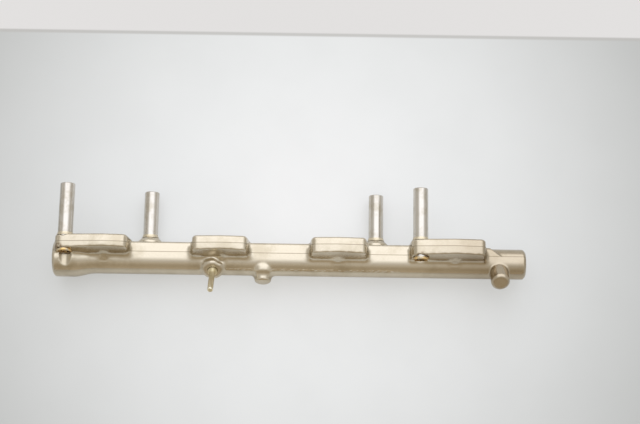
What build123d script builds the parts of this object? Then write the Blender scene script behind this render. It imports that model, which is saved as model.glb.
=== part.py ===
# High-pressure fuel rail for a four-cylinder direct-injection engine.
# One steel forging carries the gun-drilled gallery and the four injector cups.
# Four bolt sleeves are copper-brazed through it and a clip stud is pressed into a pad.
# X runs along the gallery, +Y is the cylinder-head side, +Z is up with the rail lying on its back.
import os
from math import cos, radians, sin, tan

from build123d import *

# ---- injector line (mm) ----
injector_pitch = 90.5          # cylinder spacing of the engine
injector_z = 12.0              # the cup line lies in front of the gallery axis
injector_xs = [(i - 1.5) * injector_pitch for i in range(4)]

# ---- barrel: the round body of the forging ----
barrel_r = 11.7
rail_left_x = -175.9
rail_right_x = 191.3
end_chamfer = 1.8
sensor_boss_r = 14.5           # the left end is thicker round the sensor thread
sensor_boss_len = 15.5
sensor_boss_taper = 17.0       # length over which it comes smoothly down to the barrel

# ---- crown: the squarer upper half that stiffens the barrel between the cups ----
crown_top_y = 12.5
crown_end_top_y = 11.3         # it is lower between the last lug and the inlet
crown_parting_y = 4.2          # forging parting line on the crown sides
crown_corner_r = 3.5
crown_left_x = -160.0
crown_right_x = 163.0
crown_end_slope = 39.5         # degrees, ramp from the crown down to the round inlet end

# ---- cup lugs ----
lug_top_y = 15.0
lug_parting_y = 9.2
lug_ridge_z = 27.0             # front of the lug on the injector axis
lug_facet_angle = 5.5          # each front facet falls away from the ridge
lug_ridge_r = 32.0
lug_corner_r = 4.5
lug_back_z = -3.0              # the lug pad reaches over the top of the barrel
lug_back_corner_r = 6.0
lug_flank_lean = 2.6           # the flanks widen toward the barrel
lug_draft = 2.0
lug_under_front_ys = [5.2, 4.2, 3.1, 3.1]    # underside height at the front face
lug_under_slope = 14.5
lug_edge = 1.3                 # broken rim of the lug top
lug_half_w = 20.4              # from injector axis to flank, at the front
lug_outer_w = 21.6             # the same on the outer flanks of the two middle lugs
lug_1_right_w = 18.6
lug_4_right_w = 22.6
lug_root_r = 6.0               # forging fillet where a flank meets the crown
lug_under_root_r = 4.5         # and where the underside meets the barrel
root_sink = 0.5                # the fillets start this far inside both faces

# ---- injector cups and their feed ----
cup_bore_r = 7.5
cup_depth = 9.5
cup_lead_in = 1.5
feed_r = 1.25
gallery_r = 4.5
nub_r = 4.3                    # half-round nub under each cup
nub_bottom_y = -4.2
nub_edge = 1.0

# ---- bolt sleeves, 11.5 x 2.25 mm tube ----
sleeve_r = 5.75
sleeve_bore_r = 3.5            # wide clearance for an M6 bolt
sleeve_end_chamfer = 0.5
sleeve_tip_y = 55.7            # all four sleeves stand on one machined plane of the head
braze_gap = 0.05               # radial gap that the copper braze fills
front_sleeve_z = 17.2
front_sleeve_xs = [-165.5, 109.0]
front_seat_ys = [4.0, 1.4]
rear_sleeve_z = -10.0
rear_sleeve_xs = [-103.0, 75.35]
rear_seat_ys = [-6.5, -6.5]
sleeve_wall = 1.5              # forging left round a front sleeve
sleeve_flare = 9.0             # degrees that this wall spreads toward the barrel
bolt_head_r = 5.3              # room for an M6 socket head

# ---- rear sleeve bosses ----
rear_boss_r = 9.8
rear_boss_shoulder_y = 15.4
rear_boss_top_y = 19.2

# ---- bosses that lean 45 degrees forward of straight down ----
lean = 45.0
stud_x = -51.5
stud_pad_r = 9.0
stud_pad_reach = 14.6          # pad face, measured from the gallery axis
stud_pad_edge = 1.8
stud_collar_r = 3.7
stud_collar_h = 1.4
stud_shank_r = 2.6             # the knurled length that is pressed into the pad
stud_r = 2.2
stud_tip_reach = 40.0
stud_root_reach = 8.6          # bottom of the hole that the stud is pressed into
stud_chamfer = 0.6
locator_x = -12.8              # boss that locates the forging for machining
locator_r = 6.9
locator_reach = 25.8
locator_edge_r = 4.0
inlet_boss_x = 170.2
inlet_boss_r = 7.2
inlet_boss_reach = 25.2
inlet_boss_edge = 1.6

# ---- threaded ports at the two ends of the gallery ----
sensor_thread_r = 5.2          # M12 x 1.5 core
sensor_thread_len = 15.0
inlet_thread_r = 6.2           # M14 x 1.5 core
inlet_thread_len = 14.0
port_chamfer = 1.2
port_cone_angle = 60.0


def along_x(x):
    """Plane across the rail at X = x; its own x is +Y and its own y is +Z."""
    return Plane(origin=(x, 0, 0), x_dir=(0, 1, 0), z_dir=(1, 0, 0))


def along_y(x, y, z):
    """Plane that looks to the head from the point; its own y is -Z."""
    return Plane(origin=(x, y, z), x_dir=(1, 0, 0), z_dir=(0, 1, 0))


def leaning(x, reach):
    """Plane across a leaning boss, that far out from the gallery axis."""
    axis = (0, -sin(radians(lean)), cos(radians(lean)))
    return Plane(origin=(x, axis[1] * reach, axis[2] * reach), x_dir=(1, 0, 0), z_dir=axis)


def rod(plane, radius, length):
    """Round bar that starts on the plane and runs along its normal."""
    return extrude(plane * Circle(radius), amount=length)


def turned(points):
    """Solid turned round the gallery axis from (x, radius) points."""
    outline = make_face(Polyline(*[(x, r, 0) for x, r in points], close=True))
    return revolve(outline, Axis.X, 360)


def barrel():
    """Round body with the thicker sensor end, both end faces chamfered."""
    boss_end = rail_left_x + sensor_boss_len
    taper_end = boss_end + sensor_boss_taper
    head = Polyline(
        (taper_end, 0, 0),
        (rail_left_x, 0, 0),
        (rail_left_x, sensor_boss_r - end_chamfer, 0),
        (rail_left_x + end_chamfer, sensor_boss_r, 0),
        (boss_end, sensor_boss_r, 0))
    shoulder = Spline((boss_end, sensor_boss_r, 0), (taper_end, barrel_r, 0), tangents=((1, 0, 0), (1, 0, 0)))
    close = Line((taper_end, barrel_r, 0), (taper_end, 0, 0))
    body = revolve(make_face(head + shoulder + close), Axis.X, 360)
    return body + turned([
        (taper_end, 0),
        (taper_end, barrel_r),
        (rail_right_x - end_chamfer, barrel_r),
        (rail_right_x, barrel_r - end_chamfer),
        (rail_right_x, 0),
    ])


def crown(left_x, length, top_y):
    """Stretch of the squarer upper half, with the parting line on its sides."""
    top_half_w = barrel_r - (top_y - crown_parting_y) * tan(radians(lug_draft))
    half = [(0, barrel_r), (crown_parting_y, barrel_r), (top_y, top_half_w)]
    section = make_face(Polyline(*half, *[(y, -z) for y, z in reversed(half)], close=True))
    rims = section.vertices().filter_by_position(Axis.X, top_y - 1, top_y + 1)
    return extrude(along_x(left_x) * fillet(rims, crown_corner_r), amount=length)


def crown_end():
    """Lower end stretch that ramps down to the round inlet end."""
    body = crown(injector_xs[3], crown_right_x - injector_xs[3] + 2 * barrel_r, crown_end_top_y)
    ramp = Plane(origin=(crown_right_x, crown_end_top_y, 0), x_dir=(0, 0, 1),
                 z_dir=(sin(radians(crown_end_slope)), cos(radians(crown_end_slope)), 0))
    return split(body, ramp, keep=Keep.BOTTOM)


def rounded(corners):
    """Flat face from (x, y, radius) corners; radius 0 leaves a corner sharp."""
    face = make_face(Polyline(*[(x, y, 0) for x, y, r in corners], close=True))
    for x, y, r in corners:
        if r > 0:
            face = fillet(face.vertices().sort_by_distance((x, y, 0))[0], r)
    return face


def lug_plan(left_w, right_w, sleeve_dx):
    """Outline of a lug about its injector axis, drawn as (x, -z) for the plane that looks to the head."""
    fall = tan(radians(lug_facet_angle))
    boss_r = sleeve_r + sleeve_wall
    corners = [
        (0, lug_ridge_z, lug_ridge_r),
        (right_w, lug_ridge_z - right_w * fall, lug_corner_r),
        (right_w + lug_flank_lean, lug_back_z, lug_back_corner_r),
    ]
    if sleeve_dx is None:
        corners.append((-left_w - lug_flank_lean, lug_back_z, lug_back_corner_r))
        corners.append((-left_w, lug_ridge_z - left_w * fall, lug_corner_r))
    else:
        corners.append((sleeve_dx - boss_r - lug_flank_lean / 2, lug_back_z, lug_back_corner_r))
        corners.append((sleeve_dx - boss_r, lug_ridge_z + (sleeve_dx - boss_r) * fall, boss_r - 1))
    return rounded([(x, -z, r) for x, z, r in corners])


def drafted(plane, plan, height):
    """Prism from the parting plane; its sides draw in by the forging draft."""
    body = extrude(plane * plan, amount=height)
    sides = [face for face in body.faces() if abs(face.normal_at().Y) < 0.5]
    return draft(sides, plane, lug_draft if height > 0 else -lug_draft)


def underside_outline(under_front_y, top_y):
    """Section over a lug's sloping underside, as (y, z)."""
    drop = tan(radians(lug_under_slope))
    far_z = lug_ridge_z + lug_corner_r
    return make_face(Polyline(
        (under_front_y + (far_z - lug_ridge_z) * drop, far_z, 0),
        (top_y, far_z, 0),
        (top_y, lug_back_z, 0),
        (under_front_y - (lug_ridge_z - lug_back_z) * drop, lug_back_z, 0),
        close=True))


def blended_underside(under_front_y, top_y):
    """The same section with the root fillet that runs the underside into the barrel."""
    outline = underside_outline(under_front_y, top_y) + Circle(barrel_r)
    root_y = under_front_y - (lug_ridge_z - barrel_r) * tan(radians(lug_under_slope))
    root = outline.vertices().sort_by_distance((root_y, barrel_r, 0))[0]
    return fillet(root, lug_under_root_r)


def lug(x, left_w, right_w, under_front_y, sleeve_dx=None):
    """One drafted lug with its sloping underside and rounded top rim."""
    parting = along_y(x, lug_parting_y, 0)
    plan = lug_plan(left_w, right_w, sleeve_dx)
    upper = drafted(parting, plan, lug_top_y - lug_parting_y)
    rim = upper.edges().filter_by_position(Axis.Y, lug_top_y - 0.01, lug_top_y + 0.01)
    upper = chamfer(rim, lug_edge)
    lower = drafted(parting, plan, -lug_parting_y - barrel_r)
    reach = left_w + right_w + sleeve_r + abs(sleeve_dx or 0)
    space = extrude(along_x(x) * blended_underside(under_front_y, lug_parting_y), amount=reach, both=True)
    return upper + (lower & space)


def root_flare(x, flank_w, side, under_front_y, top_y):
    """Forging fillet that spreads a lug's flank along the crown; side is -1 for the left flank."""
    lean_slope = lug_flank_lean / (lug_ridge_z - lug_back_z)
    face_z = barrel_r - root_sink
    far_z = face_z + 1.5 * lug_root_r
    flank = flank_w + lean_slope * (lug_ridge_z - face_z) - root_sink
    front = flank_w + lean_slope * (lug_ridge_z - far_z) - root_sink
    plan = rounded([
        (side * (flank - lug_root_r), -far_z, 0),
        (side * front, -far_z, 0),
        (side * flank, -face_z, lug_root_r),
        (side * (flank + 1.5 * lug_root_r), -face_z, 0),
        (side * (flank + 1.5 * lug_root_r), 0, 0),
        (side * (flank - lug_root_r), 0, 0),
    ])
    body = extrude(along_y(x, -barrel_r, 0) * plan, amount=barrel_r + top_y)
    shoulder_y = top_y - crown_corner_r
    fade = lug_root_r / 2
    shoulder = make_face(Polyline(
        (-barrel_r, 0, 0),
        (-barrel_r, barrel_r + fade, 0),
        (shoulder_y - fade, barrel_r + fade, 0),
        (shoulder_y, barrel_r, 0),
        (shoulder_y, 0, 0),
        close=True))
    reach = flank + 2 * lug_root_r
    shoulder &= underside_outline(under_front_y, lug_top_y)
    return body & extrude(along_x(x) * shoulder, amount=reach, both=True)


def end_flare():
    """The wall round the first sleeve spreads down to the sensor end."""
    boss_r = sleeve_r + sleeve_wall
    height = lug_parting_y + barrel_r
    spread_r = boss_r + height * tan(radians(sleeve_flare))
    middle = along_y(front_sleeve_xs[0], lug_parting_y - height / 2, injector_z)
    body = middle * Cone(spread_r, boss_r, height)
    space = along_x(front_sleeve_xs[0]) * underside_outline(lug_under_front_ys[0], lug_top_y)
    return body & extrude(space, amount=2 * spread_r, both=True)


def nub(x, under_front_y):
    """Half-round nub that backs the cup on the barrel's front."""
    body = rod(along_y(x, nub_bottom_y, injector_z), nub_r, under_front_y - nub_bottom_y)
    return chamfer(body.edges().filter_by_position(Axis.Y, nub_bottom_y - 0.1, nub_bottom_y + 0.1), nub_edge)


def rear_boss(x, bottom_y):
    """Round boss on the back of the barrel with a cone up to its sleeve."""
    cone_h = rear_boss_top_y - rear_boss_shoulder_y
    body = rod(along_y(x, bottom_y, rear_sleeve_z), rear_boss_r, rear_boss_shoulder_y - bottom_y)
    top = along_y(x, rear_boss_shoulder_y + cone_h / 2, rear_sleeve_z)
    return body + top * Cone(rear_boss_r, sleeve_r + 0.3, cone_h)


def boss_end(body, x, reach):
    """The rim at the free end of a leaning boss."""
    return body.edges().filter_by(GeomType.CIRCLE).sort_by_distance((x, -reach, reach))[0]


def flat_boss(x, radius, reach, edge):
    """Leaning boss with a flat end and a broken edge."""
    body = rod(leaning(x, 0), radius, reach)
    return chamfer(boss_end(body, x, reach), edge)


def round_boss(x, radius, reach, edge_r):
    """Leaning boss whose end is rounded over."""
    body = rod(leaning(x, 0), radius, reach)
    return fillet(boss_end(body, x, reach), edge_r)


def forging():
    """The forging before any machining."""
    body = barrel() + crown(crown_left_x, injector_xs[3] - crown_left_x, crown_top_y) + crown_end()
    sleeve_dxs = (front_sleeve_xs[0] - injector_xs[0], None, None, front_sleeve_xs[1] - injector_xs[3])
    boss_w = sleeve_r + sleeve_wall - lug_flank_lean / 2
    left_ws = (0, lug_outer_w, lug_half_w, boss_w - sleeve_dxs[3])
    right_ws = (lug_1_right_w, lug_half_w, lug_outer_w, lug_4_right_w)
    for x, left_w, right_w, under_front_y, sleeve_dx in zip(
            injector_xs, left_ws, right_ws, lug_under_front_ys, sleeve_dxs):
        body += lug(x, left_w, right_w, under_front_y, sleeve_dx)
        top_y = crown_end_top_y if x == injector_xs[3] else crown_top_y
        body += root_flare(x, right_w, 1, under_front_y, top_y)
        if left_w > 0:
            body += root_flare(x, left_w, -1, under_front_y, crown_top_y)
        body += nub(x, under_front_y)
    body += end_flare()
    for x, seat_y in zip(rear_sleeve_xs, rear_seat_ys):
        body += rear_boss(x, seat_y)
    body += flat_boss(stud_x, stud_pad_r, stud_pad_reach, stud_pad_edge)
    body += round_boss(locator_x, locator_r, locator_reach, locator_edge_r)
    body += flat_boss(inlet_boss_x, inlet_boss_r, inlet_boss_reach, inlet_boss_edge)
    return body


def port(end_x, inward, thread_r, thread_len):
    """Threaded port at one end of the gallery, with entry chamfer and cone seat."""
    cone_len = (thread_r - gallery_r) / tan(radians(port_cone_angle / 2))
    return turned([
        (end_x, 0),
        (end_x, thread_r + port_chamfer),
        (end_x + inward * port_chamfer, thread_r),
        (end_x + inward * thread_len, thread_r),
        (end_x + inward * (thread_len + cone_len), gallery_r),
        (end_x + inward * (thread_len + cone_len), 0),
    ])


def injector_cup(x):
    """Cup bore with its O-ring lead-in and the drilled feed from the gallery."""
    floor_y = lug_top_y - cup_depth
    bore = rod(along_y(x, floor_y, injector_z), cup_bore_r, cup_depth)
    bore += along_y(x, lug_top_y - cup_lead_in / 2, injector_z) * Cone(
        cup_bore_r, cup_bore_r + cup_lead_in / 2, cup_lead_in)
    feed_axis = Vector(0, lug_top_y, injector_z + cup_bore_r - feed_r)
    feed = Plane(origin=(x, 0, 0), x_dir=(1, 0, 0), z_dir=feed_axis)
    return bore + rod(feed, feed_r, floor_y * feed_axis.length / feed_axis.Y + feed_r)


def sleeve_seats():
    """Where each sleeve starts, as (x, y, z) in the order of X."""
    seats = [(x, y, front_sleeve_z) for x, y in zip(front_sleeve_xs, front_seat_ys)]
    seats += [(x, y, rear_sleeve_z) for x, y in zip(rear_sleeve_xs, rear_seat_ys)]
    return sorted(seats)


def head_pocket(x, seat_y, z):
    """Room for a bolt head below a sleeve's seat, open downward; its seam lies on the open front."""
    seat = Plane(origin=(x, seat_y, z), x_dir=(0, 0, 1), z_dir=(0, -1, 0))
    return rod(seat, bolt_head_r, seat_y + sensor_boss_r + bolt_head_r)


def rail_body():
    """The forging with its gallery, ports, cups and sleeve holes machined."""
    body = forging()
    body -= rod(along_x(rail_left_x), gallery_r, rail_right_x - rail_left_x)
    body -= port(rail_left_x, 1, sensor_thread_r, sensor_thread_len)
    body -= port(rail_right_x, -1, inlet_thread_r, inlet_thread_len)
    for x in injector_xs:
        body -= injector_cup(x)
    for x, seat_y, z in sleeve_seats():
        body -= rod(along_y(x, seat_y, z), sleeve_r + braze_gap, sleeve_tip_y - seat_y)
        body -= head_pocket(x, seat_y, z)
    body -= rod(leaning(stud_x, stud_root_reach), stud_shank_r, stud_tip_reach)
    return body


def bolt_sleeve(x, seat_y, z):
    """Steel tube that a rail bolt passes through, from its head seat to the cylinder head."""
    length = sleeve_tip_y - seat_y
    body = rod(along_y(x, seat_y, z), sleeve_r, length)
    tip = body.edges().filter_by_position(Axis.Y, sleeve_tip_y - 0.01, sleeve_tip_y + 0.01)
    body = chamfer(tip, sleeve_end_chamfer)
    return body - rod(along_y(x, seat_y, z), sleeve_bore_r, length)


def clip_stud():
    """Shouldered stud that the wiring clip pushes onto; its collar seats on the pad."""
    collar = leaning(stud_x, stud_pad_reach)
    body = rod(leaning(stud_x, stud_root_reach), stud_shank_r, stud_pad_reach - stud_root_reach)
    body += rod(collar, stud_r, stud_tip_reach - stud_pad_reach)
    tip = boss_end(body, stud_x, stud_tip_reach)
    return chamfer(tip, stud_chamfer) + rod(collar, stud_collar_r, stud_collar_h)


def build():
    """Every node of the rail, moved so that the rail's lowest point is at Z = 0."""
    nodes = {"rail_body": rail_body(), "clip_stud": clip_stud()}
    for number, seat in enumerate(sleeve_seats(), 1):
        nodes[f"bolt_sleeve_{number}"] = bolt_sleeve(*seat)
    box = nodes["rail_body"].bounding_box()
    for solid in nodes.values():
        box = box.add(solid.bounding_box())
    middle = box.center()
    to_frame = Location((-middle.X, -middle.Y, -box.min.Z))
    return {name: to_frame * solid for name, solid in nodes.items()}


if __name__ == "__main__":
    os.makedirs("parts", exist_ok=True)
    for name, solid in build().items():
        export_step(solid, f"parts/{name}.step")
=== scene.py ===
from math import hypot, radians, sqrt, tau

import bpy
from mathutils import Matrix, Vector


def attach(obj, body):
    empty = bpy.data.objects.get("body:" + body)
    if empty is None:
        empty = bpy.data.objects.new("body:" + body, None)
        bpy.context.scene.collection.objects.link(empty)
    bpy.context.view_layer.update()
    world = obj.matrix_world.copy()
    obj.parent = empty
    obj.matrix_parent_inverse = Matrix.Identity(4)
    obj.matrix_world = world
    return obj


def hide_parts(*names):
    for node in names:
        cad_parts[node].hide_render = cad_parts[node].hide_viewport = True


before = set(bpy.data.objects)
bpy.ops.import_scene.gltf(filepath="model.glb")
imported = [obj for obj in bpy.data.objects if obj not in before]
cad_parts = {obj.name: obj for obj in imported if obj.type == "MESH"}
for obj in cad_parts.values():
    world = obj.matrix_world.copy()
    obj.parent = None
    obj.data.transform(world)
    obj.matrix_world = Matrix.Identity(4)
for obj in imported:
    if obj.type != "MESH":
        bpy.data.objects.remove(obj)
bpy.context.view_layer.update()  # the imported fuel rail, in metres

mm = 0.001
axisOrigin = Vector((-7.7, -13.142, 19.8)) * mm  # gallery axis in the frame


def fromAxis(x, y, z):  # millimetres from the gallery axis to the frame
    return Vector((x, y, z)) * mm + axisOrigin


def toAxis(point):  # and back
    return (point - axisOrigin) / mm


def toLinear(hexColour):
    parts = [int(hexColour[i:i + 2], 16) / 255 for i in (1, 3, 5)]
    linear = [p / 12.92 if p <= 0.04045 else ((p + 0.055) / 1.055) ** 2.4 for p in parts]
    return (*linear, 1.0)


def perMetre(sizeMm):  # texture scale for a pattern of this size
    return 1 / (sizeMm * mm)


# a setting is named by its property or its socket, and a hex value is an sRGB colour; a link
# comes from a socket, or from a node's first one
def addNode(tree, kind, settings=(), links=()):
    node = tree.nodes.new("ShaderNode" + kind)
    for key, value in dict(settings).items():
        if isinstance(value, str) and value.startswith("#"):
            value = toLinear(value)
        if isinstance(key, str) and hasattr(node, key):
            setattr(node, key, value)
        else:
            node.inputs[key].default_value = value
    for key, source in dict(links).items():
        tree.links.new(getattr(source, "outputs", [source])[0], node.inputs[key])
    return node


eased = {"interpolation_type": "SMOOTHSTEP"}  # a Map Range that starts and ends softly
colours = {"data_type": "RGBA"}  # a Mix of two colours: 6 is the first, 7 the second
noiseSpan = {1: 0.3, 2: 0.7}  # nearly all of a noise texture's values lie in here
waveRate = 20  # a wave texture turns this many radians in a unit of its scale


def newMaterial(name):
    material = bpy.data.materials.new(name)
    material.use_nodes = True
    tree = material.node_tree
    tree.nodes.clear()
    coords = addNode(tree, "TexCoord").outputs["Object"]
    return material, tree, coords


def finishMetal(tree, colour, roughness, bumps):  # each bump has a height, millimetres, strength
    normal = None
    for height, depthMm, strength in bumps:
        links = {"Height": height}
        if normal:
            links["Normal"] = normal
        normal = addNode(tree, "Bump", {"Strength": strength, "Distance": depthMm * mm}, links)
    shader = addNode(tree, "BsdfPrincipled", {"Metallic": 1.0},
                     {"Base Color": colour, "Roughness": roughness, "Normal": normal})
    addNode(tree, "OutputMaterial", (), {"Surface": shader})


print("materials")

forgingLook = {
    "plate": "#CABFAA",  # clean nickel plate over steel
    "worn": "#BBAF98",  # dulled by handling and oil
    "wornFrom": (0.42, 0.66),
    "inletShade": "#9F8F77",  # painted shade: the inlet end is darkened where the light is dimmer
    "inletShadeX": (95.0, 165.0),
    "inletShadeMost": 0.55,
    "heat": "#6B4A22",  # burnt flux by the brazed joints
    "joints": [(-169.0, 3.4, 21.0), (110.0, 0.6, 22.0)],  # lower ends of the front sleeves
    "jointMm": 2.8,
    "jointEdgeMm": 3.0,
    "jointRaggedMm": 2.2,
    "jointRagged": (0.35, 0.6),
    "line": "#7F725C",  # shade in the die's parting line
    "lineMost": 0.55,
    "lineMm": (0.1, 0.42),  # half width of the line, and where it has gone
    "partings": [(9.2, 15.0, 40.0), (4.2, 6.0, 13.5)],  # y of a parting line, and its z range
    "grainMm": 1.2,  # shot-blast dimples, drawn coarser than they are so that they show
    "waveMm": 11.0,  # die waviness
    "stainMm": 24.0,
    "roughness": (0.19, 0.27),
    "waveBump": (0.3, 0.12),  # depth in millimetres, strength
    "grainBump": (0.04, 0.22),
    "lineBump": (0.12, 0.5),
}


# nickel-plated drop-forged steel, shot-blasted before plating: a warm satin gloss, mottled
# by fine dimples and die waviness, with brown heat tint where the sleeves are brazed in
def platedForging():
    look = forgingLook
    material, tree, coords = newMaterial("nickelPlatedForging")
    here = {"Vector": coords}
    grain = addNode(tree, "TexNoise", {"Scale": perMetre(look["grainMm"]), "Detail": 3.0,
                                       "Roughness": 0.6}, here)
    wave = addNode(tree, "TexNoise", {"Scale": perMetre(look["waveMm"]), "Detail": 1.0}, here)
    stain = addNode(tree, "TexNoise", {"Scale": perMetre(look["stainMm"]), "Detail": 4.0,
                                       "Roughness": 0.6}, here)
    wornFrom, wornFull = look["wornFrom"]
    stained = addNode(tree, "MapRange", {**eased, 1: wornFrom, 2: wornFull}, {0: stain})
    colour = addNode(tree, "Mix", {**colours, 6: look["plate"], 7: look["worn"]}, {0: stained})
    colour = colour.outputs[2]

    x, y, z = addNode(tree, "SeparateXYZ", (), {0: coords}).outputs
    # painted shade: the forging's colour darkens towards the inlet end
    inletShadeFrom, inletShadeTo = [fromAxis(side, 0, 0).x for side in look["inletShadeX"]]
    inletShade = addNode(tree, "MapRange", {**eased, 1: inletShadeFrom, 2: inletShadeTo,
                                         4: look["inletShadeMost"]}, {0: x})
    colour = addNode(tree, "Mix", {**colours, 7: look["inletShade"]}, {0: inletShade, 6: colour})
    colour = colour.outputs[2]

    ragged = addNode(tree, "TexNoise", {"Scale": perMetre(look["jointRaggedMm"])}, here)
    cleanTo, burntFrom = look["jointRagged"]
    patches = addNode(tree, "MapRange", {**eased, 1: cleanTo, 2: burntFrom}, {0: ragged})
    heatR = look["jointMm"] * mm
    for spot in look["joints"]:
        away = addNode(tree, "VectorMath", {"operation": "DISTANCE", 1: fromAxis(*spot)},
                       {0: coords}).outputs["Value"]
        close = addNode(tree, "MapRange", {**eased, 1: heatR, 2: heatR + look["jointEdgeMm"] * mm,
                                           3: 1.0, 4: 0.0}, {0: away})
        burnt = addNode(tree, "Math", {"operation": "MULTIPLY"}, {0: close, 1: patches})
        colour = addNode(tree, "Mix", {**colours, 7: look["heat"]}, {0: burnt, 6: colour})
        colour = colour.outputs[2]

    lines = None
    inner, outer = [width * mm for width in look["lineMm"]]
    for lineY, lowZ, highZ in look["partings"]:
        _, level, low = fromAxis(0, lineY, lowZ)
        high = fromAxis(0, lineY, highZ).z
        gap = addNode(tree, "Math", {"operation": "SUBTRACT", 1: level}, {0: y})
        gap = addNode(tree, "Math", {"operation": "ABSOLUTE"}, {0: gap})
        line = addNode(tree, "MapRange", {**eased, 1: inner, 2: outer, 3: 1.0, 4: 0.0}, {0: gap})
        above = addNode(tree, "MapRange", {**eased, 1: low, 2: low + mm}, {0: z})
        below = addNode(tree, "MapRange", {**eased, 1: high, 2: high + mm, 3: 1.0, 4: 0.0},
                        {0: z})
        inside = addNode(tree, "Math", {"operation": "MULTIPLY"}, {0: above, 1: below})
        line = addNode(tree, "Math", {"operation": "MULTIPLY"}, {0: line, 1: inside})
        if lines:
            line = addNode(tree, "Math", {"operation": "MAXIMUM"}, {0: lines, 1: line})
        lines = line
    faint = addNode(tree, "Math", {"operation": "MULTIPLY", 1: look["lineMost"]}, {0: lines})
    colour = addNode(tree, "Mix", {**colours, 7: look["line"]}, {0: faint, 6: colour})

    gloss, dull = look["roughness"]
    roughness = addNode(tree, "MapRange", {**eased, **noiseSpan, 3: gloss, 4: dull},
                        {0: grain})
    bumps = [(wave, *look["waveBump"]), (grain, *look["grainBump"]), (lines, *look["lineBump"])]
    finishMetal(tree, colour.outputs[2], roughness, bumps)
    return material


tubeLook = {
    "plate": "#CBC5BB",
    "worn": "#BDB5A6",
    "wornFrom": (0.42, 0.7),
    "smudgeMm": 9.0,
    "drawLineMm": 0.5,  # drawing marks, drawn coarser than they are so that they show
    "drawStretch": 0.03,
    "roughness": (0.16, 0.22),
    "lineBump": (0.012, 0.25),  # depth in millimetres, strength
    "smudgeBump": (0.08, 0.12),
}


# nickel-plated drawn steel tube: smoother and cooler than the forging, with faint marks along
# its length that stretch the highlight
def platedTube():
    look = tubeLook
    material, tree, coords = newMaterial("nickelPlatedTube")
    along = addNode(tree, "Mapping", {"Scale": (1.0, look["drawStretch"], 1.0)},
                    {"Vector": coords})
    lines = addNode(tree, "TexNoise", {"Scale": perMetre(look["drawLineMm"])}, {"Vector": along})
    smudge = addNode(tree, "TexNoise", {"Scale": perMetre(look["smudgeMm"]), "Detail": 3.0,
                                        "Roughness": 0.6}, {"Vector": coords})
    wornFrom, wornFull = look["wornFrom"]
    dulled = addNode(tree, "MapRange", {**eased, 1: wornFrom, 2: wornFull}, {0: smudge})
    colour = addNode(tree, "Mix", {**colours, 6: look["plate"], 7: look["worn"]}, {0: dulled})
    gloss, dull = look["roughness"]
    roughness = addNode(tree, "MapRange", {**eased, **noiseSpan, 3: gloss, 4: dull},
                        {0: smudge})
    bumps = [(lines, *look["lineBump"]), (smudge, *look["smudgeBump"])]
    finishMetal(tree, colour.outputs[2], roughness, bumps)
    return material


pinLook = {
    "plate": "#EDE6CF",
    "worn": "#D9CFAE",
    "wornFrom": (0.4, 0.65),
    "smudgeMm": 5.0,
    "ringMm": 2.827,  # turning rings, drawn coarser than they are so that they show
    "lean": 45.0,  # the pin's own, so that the rings lie square to it
    "roughness": (0.3, 0.4),
    "ringBump": (0.02, 0.5),  # depth in millimetres, strength
}


# zinc-plated turned pin with a yellow passivate: brighter and yellower than the rail, with
# fine turning rings across its axis
def passivatedPin():
    look = pinLook
    material, tree, coords = newMaterial("yellowPassivatedPin")
    turn = addNode(tree, "Mapping", {"Rotation": (radians(look["lean"]), 0, 0)},
                   {"Vector": coords})
    rings = addNode(tree, "TexWave", {"wave_type": "BANDS", "bands_direction": "Z",
                                      "Scale": perMetre(look["ringMm"]) * tau / waveRate},
                    {"Vector": turn})
    smudge = addNode(tree, "TexNoise", {"Scale": perMetre(look["smudgeMm"]), "Detail": 3.0},
                     {"Vector": coords})
    wornFrom, wornFull = look["wornFrom"]
    dulled = addNode(tree, "MapRange", {**eased, 1: wornFrom, 2: wornFull}, {0: smudge})
    colour = addNode(tree, "Mix", {**colours, 6: look["plate"], 7: look["worn"]}, {0: dulled})
    gloss, dull = look["roughness"]
    roughness = addNode(tree, "MapRange", {**eased, **noiseSpan, 3: gloss, 4: dull},
                        {0: smudge})
    finishMetal(tree, colour.outputs[2], roughness, [(rings.outputs[1], *look["ringBump"])])
    return material


brazeLook = {
    "bright": "#E6C283",
    "plated": "#D0C3A8",
    "brightFrom": {"platedCopperBraze": 0.66, "bareCopperBraze": 0.42},  # less is barer
    "patchMm": 3.5,
    "patchEdge": 0.14,
    "rippleMm": 1.6,
    "roughness": (0.22, 0.42),
    "rippleBump": (0.15, 0.5),  # depth in millimetres, strength
}


# furnace copper braze, thinly plated: a small ripply fillet that shows copper where the
# plating is thin
def copperBraze(name):
    look = brazeLook
    material, tree, coords = newMaterial(name)
    ripple = addNode(tree, "TexNoise", {"Scale": perMetre(look["rippleMm"])}, {"Vector": coords})
    cover = addNode(tree, "TexNoise", {"Scale": perMetre(look["patchMm"]), "Detail": 3.0,
                                       "Roughness": 0.6}, {"Vector": coords})
    start = look["brightFrom"][name]
    bare = addNode(tree, "MapRange", {**eased, 1: start, 2: start + look["patchEdge"]},
                   {0: cover})
    colour = addNode(tree, "Mix", {**colours, 6: look["plated"], 7: look["bright"]}, {0: bare})
    gloss, dull = look["roughness"]
    roughness = addNode(tree, "MapRange", {**eased, **noiseSpan, 3: gloss, 4: dull},
                        {0: ripple})
    finishMetal(tree, colour.outputs[2], roughness, [(ripple, *look["rippleBump"])])
    return material


forgingMetal = platedForging()
tubeMetal = platedTube()
pinMetal = passivatedPin()
nodeMetals = {"rail_body": forgingMetal, "clip_stud": pinMetal}
for nodeName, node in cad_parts.items():
    node.data.materials.clear()
    node.data.materials.append(nodeMetals.get(nodeName, tubeMetal))


def nothingSelected():
    if bpy.context.object and bpy.context.object.mode != "OBJECT":
        bpy.ops.object.mode_set(mode="OBJECT")
    bpy.ops.object.select_all(action="DESELECT")


def onlySelected(piece):
    nothingSelected()
    piece.select_set(True)
    bpy.context.view_layer.objects.active = piece


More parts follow.
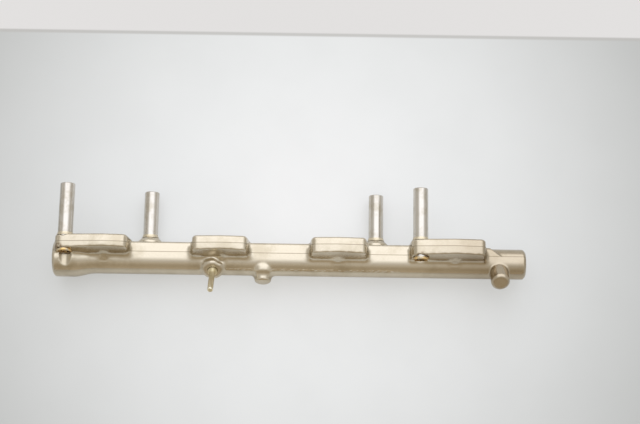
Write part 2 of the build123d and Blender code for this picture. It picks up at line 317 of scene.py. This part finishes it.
def applyModifier(piece, kind, **settings):
    onlySelected(piece)
    modifier = piece.modifiers.new(kind.title(), kind)
    for key, value in settings.items():
        setattr(modifier, key, value)
    bpy.ops.object.modifier_apply(modifier=modifier.name)


# a disc or a circle at the first radius and height, drawn up along Z through the others
def drawnUp(profile, segments, solid):
    nothingSelected()
    startR, startZ = profile[0]
    bpy.ops.mesh.primitive_circle_add(vertices=segments, radius=startR * mm,
                                      fill_type="NGON" if solid else "NOTHING",
                                      location=(0, 0, startZ * mm))
    piece = bpy.context.object
    bpy.ops.object.mode_set(mode="EDIT")
    bpy.ops.mesh.select_all(action="SELECT")
    for (lastR, lastZ), (nextR, nextZ) in zip(profile, profile[1:]):
        rise = {"value": (0, 0, (nextZ - lastZ) * mm)}
        bpy.ops.mesh.extrude_region_move(TRANSFORM_OT_translate=rise)
        spread = nextR / lastR
        bpy.ops.transform.resize(value=(spread, spread, 1))
    return piece


def finishPiece(piece, name, metal, smoothAngle):
    onlySelected(piece)
    bpy.ops.object.transform_apply(location=True, rotation=True, scale=True)
    bpy.ops.object.mode_set(mode="EDIT")
    bpy.ops.mesh.select_all(action="SELECT")
    bpy.ops.mesh.remove_doubles(threshold=0.002 * mm)
    bpy.ops.mesh.normals_make_consistent(inside=False)
    bpy.ops.object.mode_set(mode="OBJECT")
    bpy.ops.object.shade_smooth_by_angle(angle=radians(smoothAngle))
    piece.name = name
    piece.data.name = name
    piece.data.materials.clear()
    piece.data.materials.append(metal)
    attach(piece, "root")


print("dressed forging")

barrelR = 11.7
skinShape = {
    "voxelMm": 0.85,
    "softPasses": 3,  # every forged edge is a little round
    "rootPasses": 45,  # and the roots of the lugs flow into the crown
    "rootReach": (8.0, 4.5, 5.5),  # half sizes of the zone that is blended, about its middle
    "rootMiddle": (3.0, 10.5),  # y and z of that middle
    "blend": (0.7, 1.4),  # of a zone's size: all of it inside the first, none past the second
    "neck": (-51.5, -8.6, 8.6),  # foot of the leaning stud pad
    "neckR": 9.0,
    "cups": [  # x of each cup, height of the underside over its nub, flanks of its lug
        (-135.75, 2.4, (-159.0, -116.0)),
        (-45.25, 1.4, (-67.0, -23.0)),
        (45.25, 0.3, (23.0, 67.0)),
        (135.75, 0.3, (115.0, 160.0)),
    ],
}
nubShape = {
    "radius": 4.7,
    "z": 12.0,
    "top": 3.0,  # the y range in which the skin may belong to a nub
    "bottom": -4.6,
    "front": 5.0,  # and its least z
    "foot": -2.4,  # y where it runs out on the barrel
    "root": 0.6,  # it has its full thickness this far inside the lug
    "thinnest": 0.2,  # share of its thickness and of its width that is left at the foot
    "narrowest": 0.35,
    "skin": 0.1,  # what is nearer to the barrel than this is the barrel
    "notCad": (-5.0, 3.0, 6.0),  # y range and half width where the CAD faces don't count
}
locatorShape = {
    "x": -12.8,
    "lean": 80.0,
    "oldFootR": 8.6,  # the skin that is pressed back to the barrel before the boss goes on
    "pressed": (-0.5, -4.0),  # that skin is below this y and in front of this z
    "notCad": (1.0, 10.0),  # below this y, and this near in x, the CAD faces don't count
    "segments": 48,
    "profile": [(10.5, 7.0), (9.6, 11.0), (7.9, 12.4), (6.9, 13.8), (6.5, 15.2),
                (6.4, 16.6), (5.6, 17.6), (4.2, 18.1), (2.0, 18.2)],
}


def ramp(value, low, high):
    part = min(1.0, max(0.0, (value - low) / (high - low)))
    return part * part * (3 - 2 * part)


def remeshed(piece):
    applyModifier(piece, "REMESH", mode="VOXEL", voxel_size=skinShape["voxelMm"] * mm,
                  use_smooth_shade=True)


def shapeNubs(piece):  # each nub runs out on the barrel instead of standing square
    nub = nubShape
    for vertex in piece.data.vertices:
        x, y, z = toAxis(vertex.co)
        if z < nub["front"] or not nub["bottom"] <= y <= nub["top"]:
            continue
        ground = sqrt(barrelR ** 2 - y ** 2)
        for cupX, under, _ in skinShape["cups"]:
            atNub = hypot(x - cupX, z - nub["z"]) < nub["radius"]
            if atNub and z > ground + nub["skin"] and y < under:
                length = under + nub["root"] - nub["foot"]
                part = min(1.0, max(0.0, (y - nub["foot"]) / length))
                keep = nub["thinnest"] + (1 - nub["thinnest"]) * part if part else 0.0
                bulge = sqrt(1 - (1 - part) ** 2)
                narrow = nub["narrowest"] + (1 - nub["narrowest"]) * bulge
                vertex.co = fromAxis(cupX + (x - cupX) * narrow, y, ground + (z - ground) * keep)


def pressLocator(piece):  # takes the CAD's boss back to the barrel's own surface
    topY, backZ = locatorShape["pressed"]
    for vertex in piece.data.vertices:
        x, y, z = toAxis(vertex.co)
        away = hypot(y, z)
        close = abs(x - locatorShape["x"]) < locatorShape["oldFootR"]
        if close and y < topY and z > backZ and away > barrelR:
            vertex.co = fromAxis(x, y * barrelR / away, z * barrelR / away)


def addLocator(piece):
    boss = drawnUp(locatorShape["profile"], locatorShape["segments"], True)
    bpy.ops.mesh.select_all(action="SELECT")
    bpy.ops.mesh.normals_make_consistent(inside=False)
    bpy.ops.object.mode_set(mode="OBJECT")
    bpy.ops.object.transform_apply(location=True, rotation=True, scale=True)
    boss.matrix_world = (Matrix.Translation(fromAxis(locatorShape["x"], 0, 0))
                         @ Matrix.Rotation(radians(locatorShape["lean"]), 4, "X"))
    onlySelected(boss)
    bpy.ops.object.transform_apply(location=True, rotation=True, scale=True)
    piece.select_set(True)
    bpy.context.view_layer.objects.active = piece
    bpy.ops.object.join()


def settle(piece, node):  # back onto the CAD faces, but for the nubs and the re-aimed boss
    group = piece.vertex_groups.new(name="faces")
    nubLow, nubHigh, nubHalf = nubShape["notCad"]
    bossHigh, bossHalf = locatorShape["notCad"]
    for vertex in piece.data.vertices:
        x, y, z = toAxis(vertex.co)
        nearCup = min(abs(x - cup[0]) for cup in skinShape["cups"]) < nubHalf
        atNub = nearCup and z > nubShape["front"] and nubLow < y < nubHigh
        atBoss = y < bossHigh and abs(x - locatorShape["x"]) < bossHalf
        if not atNub and not atBoss:
            group.add([vertex.index], 1.0, "REPLACE")
    applyModifier(piece, "SHRINKWRAP", target=node, wrap_method="NEAREST_SURFACEPOINT",
                  vertex_group="faces")


def rootWeights(piece):
    group = piece.vertex_groups.new(name="roots")
    reachX, reachY, reachZ = skinShape["rootReach"]
    middleY, middleZ = skinShape["rootMiddle"]
    flanks = [flank for cup in skinShape["cups"] for flank in cup[2]]
    for vertex in piece.data.vertices:
        x, y, z = toAxis(vertex.co)
        nearest = min(abs(x - flank) for flank in flanks) / reachX
        away = sqrt(nearest ** 2 + ((y - middleY) / reachY) ** 2 + ((z - middleZ) / reachZ) ** 2)
        neckAway = (Vector((x, y, z)) - Vector(skinShape["neck"])).length / skinShape["neckR"]
        weight = 1 - ramp(min(away, neckAway), *skinShape["blend"])
        if weight > 0:
            group.add([vertex.index], weight, "REPLACE")


def dressedForging():
    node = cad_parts["rail_body"]
    mesh = node.data.copy()
    mesh.transform(node.matrix_world)
    piece = bpy.data.objects.new("forging", mesh)
    bpy.context.collection.objects.link(piece)
    onlySelected(piece)
    bpy.ops.object.mode_set(mode="EDIT")
    bpy.ops.mesh.select_all(action="SELECT")
    bpy.ops.mesh.remove_doubles(threshold=0.001 * mm)
    bpy.ops.object.mode_set(mode="OBJECT")
    remeshed(piece)
    shapeNubs(piece)
    pressLocator(piece)
    addLocator(piece)
    remeshed(piece)
    settle(piece, node)
    rootWeights(piece)
    applyModifier(piece, "SMOOTH", factor=0.5, iterations=skinShape["rootPasses"],
                  vertex_group="roots")
    applyModifier(piece, "SMOOTH", factor=0.5, iterations=skinShape["softPasses"])
    piece.vertex_groups.clear()
    piece.data.materials.clear()
    piece.data.materials.append(forgingMetal)
    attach(piece, "root")
    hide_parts("rail_body")
    print("  triangles", sum(len(face.vertices) - 2 for face in piece.data.polygons))


dressedForging()

print("braze")

brazeShape = {
    "segments": 56,
    "rippleMm": 2.5,
    "rippleDepthMm": 0.22,
}
fillet = {
    "profile": [(6.6, -0.5), (6.6, 0.0), (6.35, 0.2), (6.15, 0.5), (6.0, 1.0), (5.85, 1.7),
                (5.6, 1.75), (5.6, -0.5)],  # a hollow fillet
    "metal": "platedCopperBraze",
    "places": {  # where each sleeve leaves the forging, from the gallery axis
        "braze_fillet_1": (-165.5, 15.0, 17.2),
        "braze_fillet_2": (-103.0, 19.2, -10.0),
        "braze_fillet_3": (75.35, 19.2, -10.0),
        "braze_fillet_4": (109.0, 15.0, 17.2),
    },
}
pocketRing = {
    "profile": [(5.0, -1.7), (5.5, -1.75), (5.95, -1.4), (6.1, -0.8), (6.1, 0.2), (5.6, 0.6),
                (5.0, 0.6)],  # a bead that has run round the sleeve's lower end
    "metal": "bareCopperBraze",
    "places": {
        "braze_ring_1": (-165.5, 3.7, 17.2),
        "braze_ring_4": (109.0, 1.1, 17.2),
    },
}
ripple = bpy.data.textures.new("brazeRipple", "CLOUDS")
ripple.noise_scale = brazeShape["rippleMm"] * mm


def brazeRings(kind):  # one ring is drawn and closed, then copied round each sleeve
    start = drawnUp(kind["profile"], brazeShape["segments"], False)
    bpy.ops.mesh.select_mode(type="EDGE")
    bpy.ops.mesh.select_all(action="DESELECT")
    bpy.ops.mesh.select_non_manifold()
    bpy.ops.mesh.bridge_edge_loops()
    bpy.ops.mesh.select_mode(type="VERT")
    bpy.ops.object.mode_set(mode="OBJECT")
    metal = copperBraze(kind["metal"])
    startHeight = kind["profile"][0][1] * mm
    for name, place in kind["places"].items():
        piece = start.copy()
        piece.data = start.data.copy()
        bpy.context.collection.objects.link(piece)
        piece.rotation_euler = (radians(-90), 0, 0)  # the sleeves stand along Y
        piece.location = fromAxis(*place) + Vector((0, startHeight, 0))
        finishPiece(piece, name, metal, 60)
        applyModifier(piece, "DISPLACE", texture=ripple, texture_coords="LOCAL", mid_level=0.5,
                      strength=brazeShape["rippleDepthMm"] * mm)
    bpy.data.objects.remove(start)


brazeRings(fillet)
brazeRings(pocketRing)

print("port threads")

threads = {
    "stepsPerTurn": 40,
    "ridgeMm": 0.42,
    "ports": {  # core radius, pitch, turns, x of the first turn
        "inlet_thread": (6.2, 1.5, 7, 178.3),
        "sensor_thread": (5.2, 1.5, 8, -173.7),
    },
}


def portThread(coreR, pitch, turns, startX):  # a ridge wound along X inside a port
    nothingSelected()
    bpy.ops.mesh.primitive_circle_add(vertices=3, radius=threads["ridgeMm"] * mm)
    ridge = bpy.context.object
    bpy.ops.object.mode_set(mode="EDIT")
    bpy.ops.mesh.select_all(action="SELECT")
    bpy.ops.transform.rotate(value=radians(90), orient_axis="X", center_override=(0, 0, 0))
    bpy.ops.transform.rotate(value=radians(90), orient_axis="Y", center_override=(0, 0, 0))
    bpy.ops.transform.translate(value=(coreR * mm, 0, 0))
    bpy.ops.object.mode_set(mode="OBJECT")
    applyModifier(ridge, "SCREW", axis="Z", screw_offset=pitch * mm, iterations=turns,
                  steps=threads["stepsPerTurn"], render_steps=threads["stepsPerTurn"])
    bpy.ops.object.mode_set(mode="EDIT")
    bpy.ops.mesh.select_all(action="SELECT")
    bpy.ops.mesh.fill_holes(sides=3)
    bpy.ops.object.mode_set(mode="OBJECT")
    ridge.rotation_euler = (0, radians(90), 0)
    ridge.location = fromAxis(startX, 0, 0)
    return ridge


for name, sizes in threads["ports"].items():
    finishPiece(portThread(*sizes), name, forgingMetal, 30)

print("flash line")

flashLine = {
    "startX": -58.0,
    "length": 152.0,
    "width": 1.8,
    "crest": 0.2,  # half width of its crest, as a share of the width
    "height": 0.4,
    "sunk": 0.35,
    "lean": 45.0,  # it follows the die parting, in line with the bosses
    "steps": (220, 6),  # along it and across it
    "roughMm": 2.0,
    "roughDepthMm": 0.9,
    "roughLevel": 0.55,  # above a half, the roughness takes away more than it adds
}


def flashRidge():  # what trimming leaves of the flash: a low rough ridge along the barrel
    size = flashLine
    nothingSelected()
    along, across = size["steps"]
    bpy.ops.mesh.primitive_grid_add(x_subdivisions=along, y_subdivisions=across, size=1)
    ridge = bpy.context.object
    ridge.scale = (size["length"] * mm, size["width"] * mm, 1)
    bpy.ops.object.transform_apply(scale=True)
    bpy.ops.object.mode_set(mode="EDIT")
    bpy.ops.mesh.select_all(action="SELECT")
    bpy.ops.mesh.extrude_region_move(TRANSFORM_OT_translate={"value": (0, 0, size["sunk"] * mm)})
    bpy.ops.object.mode_set(mode="OBJECT")
    crestHalf = size["width"] * mm * size["crest"]
    for vertex in ridge.data.vertices:
        vertex.select = vertex.co.z > 0 and abs(vertex.co.y) < crestHalf
    bpy.ops.object.mode_set(mode="EDIT")
    bpy.ops.transform.translate(value=(0, 0, size["height"] * mm))
    bpy.ops.object.mode_set(mode="OBJECT")
    middle = fromAxis(size["startX"] + size["length"] / 2, 0, 0)
    lean = Matrix.Rotation(radians(size["lean"]), 4, "X")
    out = (barrelR - size["sunk"]) * mm
    ridge.matrix_world = Matrix.Translation(middle) @ lean @ Matrix.Translation((0, 0, out))
    return ridge


trim = bpy.data.textures.new("flashTrim", "CLOUDS")
trim.noise_scale = flashLine["roughMm"] * mm
flash = flashRidge()
finishPiece(flash, "flash_line", forgingMetal, 60)
applyModifier(flash, "DISPLACE", texture=trim, texture_coords="LOCAL",
              mid_level=flashLine["roughLevel"], strength=flashLine["roughDepthMm"] * mm)

print("floor, light and camera")

floorLook = {
    "ownTone": 0.55,  # how much of the table's tone is plain, so that its shadow stays soft
    "glow": "#F1F1F0",  # painted pool of light in the middle of the table
    "near": "#E9EAE9",
    "nearBy": 0.12,  # metres from the middle of the glow
    # painted falloff: the table darkens away from the painted pool of light; this tone also gives
    # its faint unevenness
    "far": "#ACADAA",
    "farFrom": (0.08, 0.42),
    "edge": "#DADCDB",  # and out at its edges
    "edgeFrom": (0.45, 1.2),
    "glowAt": (0.014, 0.035),
    "glowSquash": 0.9,  # below 1 the glow reaches further across the table than along it
    "cloudMm": 60.0,  # faint unevenness
    "cloudFrom": (0.3, 0.8),
    "cloudMost": 0.06,
    "seam": "#BDBBB7",
    "seamY": 0.181,
    "seamHalf": (0.0005, 0.0022),
    "seamMost": 0.8,
    "beyond": "#DFDDDB",  # past the seam
    "beyondOver": 0.002,
    "roughness": 0.7,
    "gloss": 0.15,
}


# matt laminate table top: pale, a touch cool, with a painted pool of light in the middle that
# darkens outwards
def tableTop():
    look = floorLook
    material, tree, coords = newMaterial("matLaminate")
    glowX, glowY = look["glowAt"]
    squash = look["glowSquash"]
    centred = addNode(tree, "Mapping", {"Location": (-glowX, -glowY * squash, 0),
                                        "Scale": (1, squash, 1)}, {"Vector": coords})
    away = addNode(tree, "VectorMath", {"operation": "LENGTH"}, {0: centred}).outputs["Value"]
    part = addNode(tree, "MapRange", {**eased, 1: 0.0, 2: look["nearBy"]}, {0: away})
    colour = addNode(tree, "Mix", {**colours, 6: look["glow"], 7: look["near"]}, {0: part})
    for tone in ("far", "edge"):
        start, full = look[tone + "From"]
        part = addNode(tree, "MapRange", {**eased, 1: start, 2: full}, {0: away})
        colour = addNode(tree, "Mix", {**colours, 7: look[tone]},
                         {0: part, 6: colour.outputs[2]})
    cloudy = addNode(tree, "TexNoise", {"Scale": perMetre(look["cloudMm"]), "Detail": 3.0},
                     {"Vector": coords})
    start, full = look["cloudFrom"]
    part = addNode(tree, "MapRange", {**eased, 1: start, 2: full, 4: look["cloudMost"]},
                   {0: cloudy})
    colour = addNode(tree, "Mix", {**colours, 7: look["far"]}, {0: part, 6: colour.outputs[2]})
    y = addNode(tree, "SeparateXYZ", (), {0: coords}).outputs[1]
    seamY = look["seamY"]
    past = addNode(tree, "MapRange", {**eased, 1: seamY, 2: seamY + look["beyondOver"]}, {0: y})
    colour = addNode(tree, "Mix", {**colours, 7: look["beyond"]}, {0: past, 6: colour.outputs[2]})
    gap = addNode(tree, "Math", {"operation": "SUBTRACT", 1: seamY}, {0: y})
    gap = addNode(tree, "Math", {"operation": "ABSOLUTE"}, {0: gap})
    inner, outer = look["seamHalf"]
    seam = addNode(tree, "MapRange", {**eased, 1: inner, 2: outer, 3: look["seamMost"],
                                      4: 0.0}, {0: gap})
    colour = addNode(tree, "Mix", {**colours, 7: look["seam"]}, {0: seam, 6: colour.outputs[2]})
    colour = colour.outputs[2]
    shader = addNode(tree, "BsdfPrincipled", {"Roughness": look["roughness"],
                                              "Specular IOR Level": look["gloss"]},
                     {"Base Color": colour})
    own = addNode(tree, "Emission", {"Strength": 1.0}, {"Color": colour})
    seen = addNode(tree, "LightPath").outputs["Is Camera Ray"]
    part = addNode(tree, "Math", {"operation": "MULTIPLY", 1: look["ownTone"]}, {0: seen})
    shown = addNode(tree, "MixShader", (), {0: part, 1: shader, 2: own})
    addNode(tree, "OutputMaterial", (), {"Surface": shown})
    return material


nothingSelected()
bpy.ops.mesh.primitive_plane_add(size=9)
floor = bpy.context.object
floor.name = "floor"
floor.data.materials.append(tableTop())

# places in the room are parts of a direction: x along the rail, y the way the sleeves point
studio = {
    "room": "#D8D6D2",  # pale walls all round
    "roomLevel": 1.02,
    "low": "#D6CAB6",  # furniture near the horizon, in front
    "lowY": (-0.95, -0.25),
    "shade": "#8E826D",  # and the shade above it
    "shadeY": -0.84,
    "shadeHalf": (0.03, 0.26),  # full inside the first, gone outside the second
    "shadeMost": 0.45,
    "softbox": "#F0F3FB",
    "softboxLevel": 2.0,
    "softboxX": 0.1,
    "softboxHalf": (0.36, 0.82),
    "softboxFront": (-0.45, 0.22),
    "softboxFoot": (0.05, 0.35),
    "seen": "#E2E4E4",  # what shows behind the table
}


# a long soft ceiling light over the table in a pale room, all in the world's background
def roomLight():
    world = bpy.data.worlds.new("room")
    bpy.context.scene.world = world
    world.use_nodes = True
    tree = world.node_tree
    tree.nodes.clear()
    direction = addNode(tree, "TexCoord").outputs["Generated"]
    x, y, z = addNode(tree, "SeparateXYZ", (), {0: direction}).outputs

    aside = addNode(tree, "Math", {"operation": "SUBTRACT", 1: studio["softboxX"]}, {0: x})
    aside = addNode(tree, "Math", {"operation": "ABSOLUTE"}, {0: aside})
    full, gone = studio["softboxHalf"]
    lit = addNode(tree, "MapRange", {**eased, 1: full, 2: gone, 3: 1.0, 4: 0.0}, {0: aside})
    for edge, socket in (("softboxFront", y), ("softboxFoot", z)):
        start, full = studio[edge]
        inside = addNode(tree, "MapRange", {**eased, 1: start, 2: full}, {0: socket})
        lit = addNode(tree, "Math", {"operation": "MULTIPLY"}, {0: lit, 1: inside})

    full, gone = studio["lowY"]
    low = addNode(tree, "MapRange", {**eased, 1: full, 2: gone, 3: 1.0, 4: 0.0}, {0: y})
    room = addNode(tree, "Mix", {**colours, 6: studio["room"], 7: studio["low"]}, {0: low})
    off = addNode(tree, "Math", {"operation": "SUBTRACT", 1: studio["shadeY"]}, {0: y})
    off = addNode(tree, "Math", {"operation": "ABSOLUTE"}, {0: off})
    full, gone = studio["shadeHalf"]
    shade = addNode(tree, "MapRange", {**eased, 1: full, 2: gone, 3: studio["shadeMost"],
                                       4: 0.0}, {0: off})
    room = addNode(tree, "Mix", {**colours, 7: studio["shade"]}, {0: shade, 6: room.outputs[2]})

    walls = addNode(tree, "Background", {"Strength": studio["roomLevel"]},
                    {"Color": room.outputs[2]})
    box = addNode(tree, "Background", {"Color": studio["softbox"],
                                       "Strength": studio["softboxLevel"]})
    light = addNode(tree, "MixShader", (), {0: lit, 1: walls, 2: box})
    pale = addNode(tree, "Background", {"Color": studio["seen"], "Strength": 1.0})
    seen = addNode(tree, "LightPath").outputs["Is Camera Ray"]
    shown = addNode(tree, "MixShader", (), {0: seen, 1: light, 2: pale})
    addNode(tree, "OutputWorld", (), {"Surface": shown})


roomLight()

cameraPlace = {
    "location": (0.0232, -0.206755, 1.072856),
    "turn": (12.4985, -0.184, 0.8298),  # degrees
    "lens": 77.0,
    "sensor": 36.0,
}
nothingSelected()
bpy.ops.object.camera_add(location=cameraPlace["location"],
                          rotation=[radians(angle) for angle in cameraPlace["turn"]])
camera = bpy.context.object
camera.data.lens = cameraPlace["lens"]
camera.data.sensor_width = cameraPlace["sensor"]
scene = bpy.context.scene
scene.camera = camera
scene.view_settings.view_transform = "Standard"
